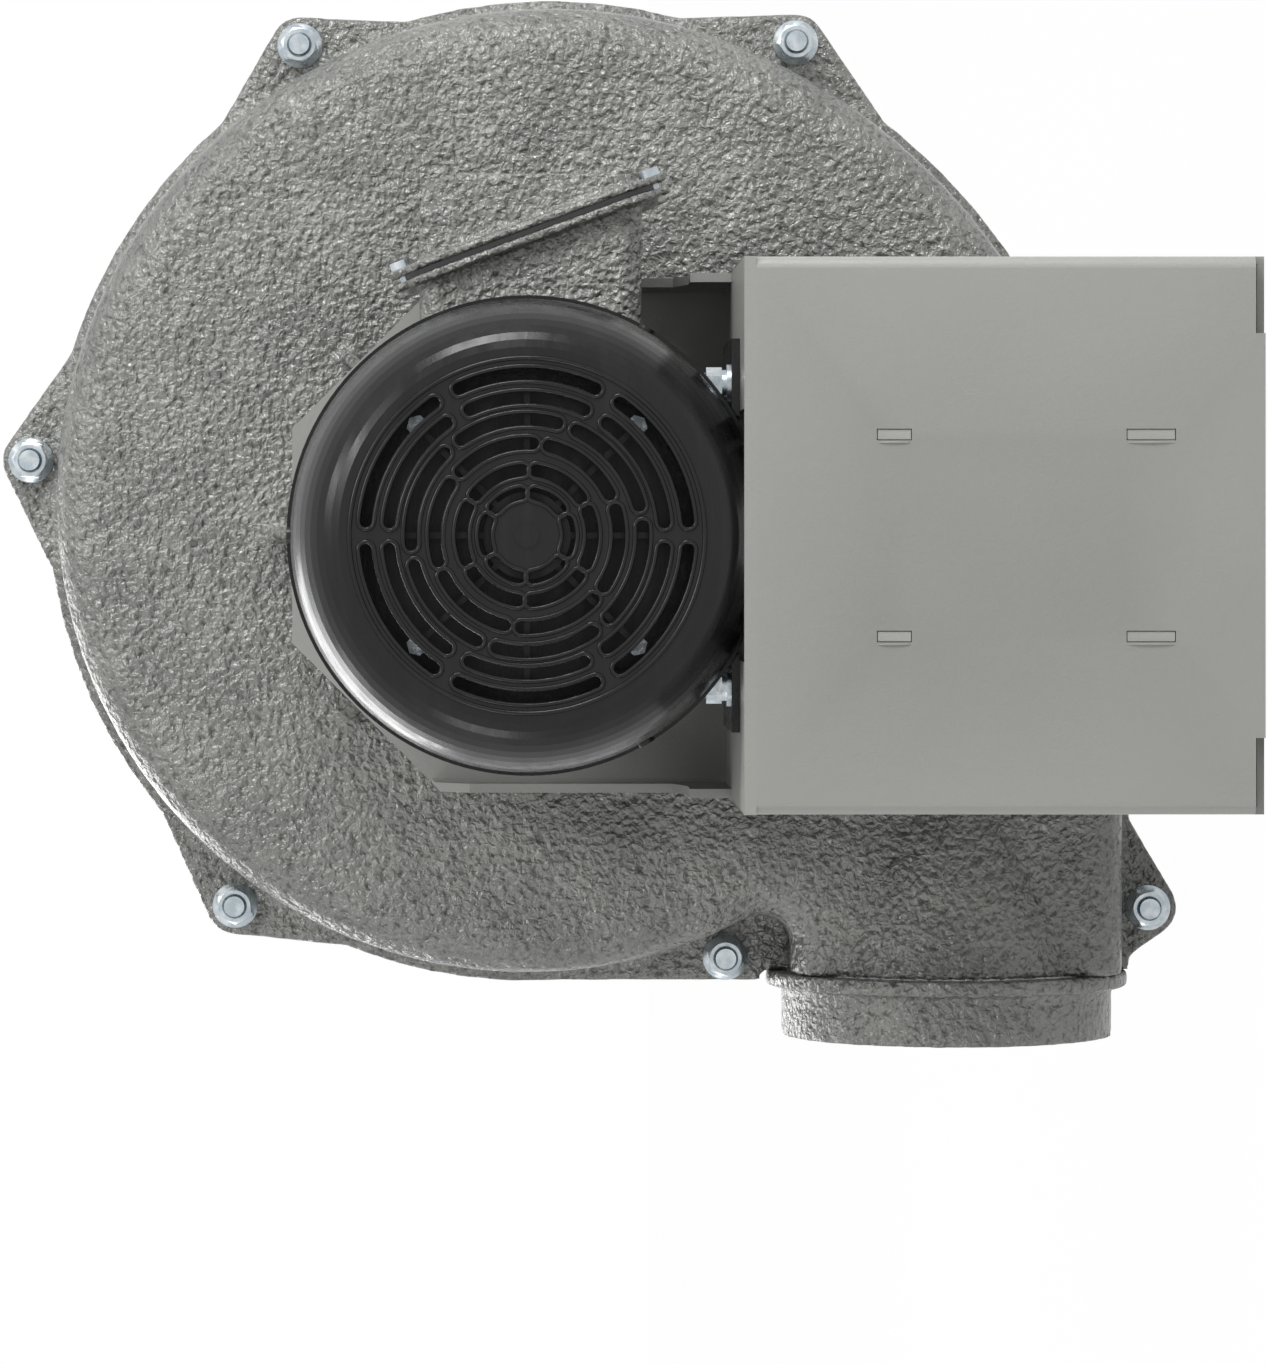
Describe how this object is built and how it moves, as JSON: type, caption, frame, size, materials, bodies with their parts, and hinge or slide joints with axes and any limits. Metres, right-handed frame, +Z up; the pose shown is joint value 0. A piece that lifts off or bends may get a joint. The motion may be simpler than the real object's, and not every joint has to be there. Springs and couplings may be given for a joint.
{
  "type": "spark-resistant blower",
  "caption": "Direct-drive pressure blower: cast scroll housing with aluminium wheel, round duct collars, fan-cooled motor and sheet-metal pedestal.",
  "frame": {"origin": "on the floor, at the centre of the pedestal's four fixing holes", "axes": "+Z up, the shaft runs along Y with the air inlet at +Y and the fan cowl at -Y, the outlet blows towards -X"},
  "size_m": [0.4784, 0.4308, 0.5447],
  "materials": {
    "cast_paint": "rough hammered grey casting",
    "sheet_paint": "smooth satin grey with fine orange peel",
    "black_gloss": "gloss black enamel",
    "black_plastic": "gloss black moulding",
    "zinc": "bluish zinc plate",
    "aluminium": "satin mill",
    "bronze": "turned",
    "steel": "ground",
    "copper": "enamelled wire",
    "gasket": "matt",
    "phenolic": "moulded"
  },
  "bodies": {
    "stand": {"housing_drive_half": "cast_paint", "housing_inlet_half": "cast_paint", "housing_gasket": "gasket", "outlet_collar": "cast_paint", "inlet_collar": "cast_paint", "inlet_cone": "aluminium", "inlet_screws": "zinc", "housing_bolts": "zinc", "housing_nuts": "zinc", "support_plate": "sheet_paint", "plate_bolts": "zinc", "pedestal_shell": "sheet_paint", "pedestal_top": "sheet_paint", "pedestal_webs": "sheet_paint", "shaft_seal_ring": "bronze", "seal_ring_screws": "zinc", "bearing_outer_races": "steel", "motor_frame": "black_gloss", "front_bell": "black_gloss", "rear_bell": "black_gloss", "through_bolts": "zinc", "stator_core": "steel", "stator_windings": "copper", "motor_base": "black_gloss", "foot_bolts": "zinc", "foot_washers": "zinc", "foot_nuts": "zinc", "fan_cowl": "black_plastic", "cowl_screws": "black_gloss", "conduit_box": "cast_paint", "conduit_gasket": "gasket", "conduit_lid": "cast_paint", "lid_screws": "zinc", "terminal_block": "phenolic"},
    "rotor": {"wheel_hub": "aluminium", "wheel_backplate": "aluminium", "wheel_blades": "aluminium", "wheel_shroud": "aluminium", "wheel_rivets": "aluminium", "hub_setscrews": "steel", "shaft_key": "steel", "motor_shaft": "steel", "rotor_core": "steel", "rotor_end_rings": "aluminium", "bearing_inner_races": "steel", "bearing_balls": "steel", "cooling_fan": "black_plastic"}
  },
  "joints": [
    {"name": "rotor_spin", "type": "hinge", "parent": "stand", "child": "rotor", "pos_m": [0, 0, 0.302], "axis": [0, 1, 0], "continuous": true}
  ]
}
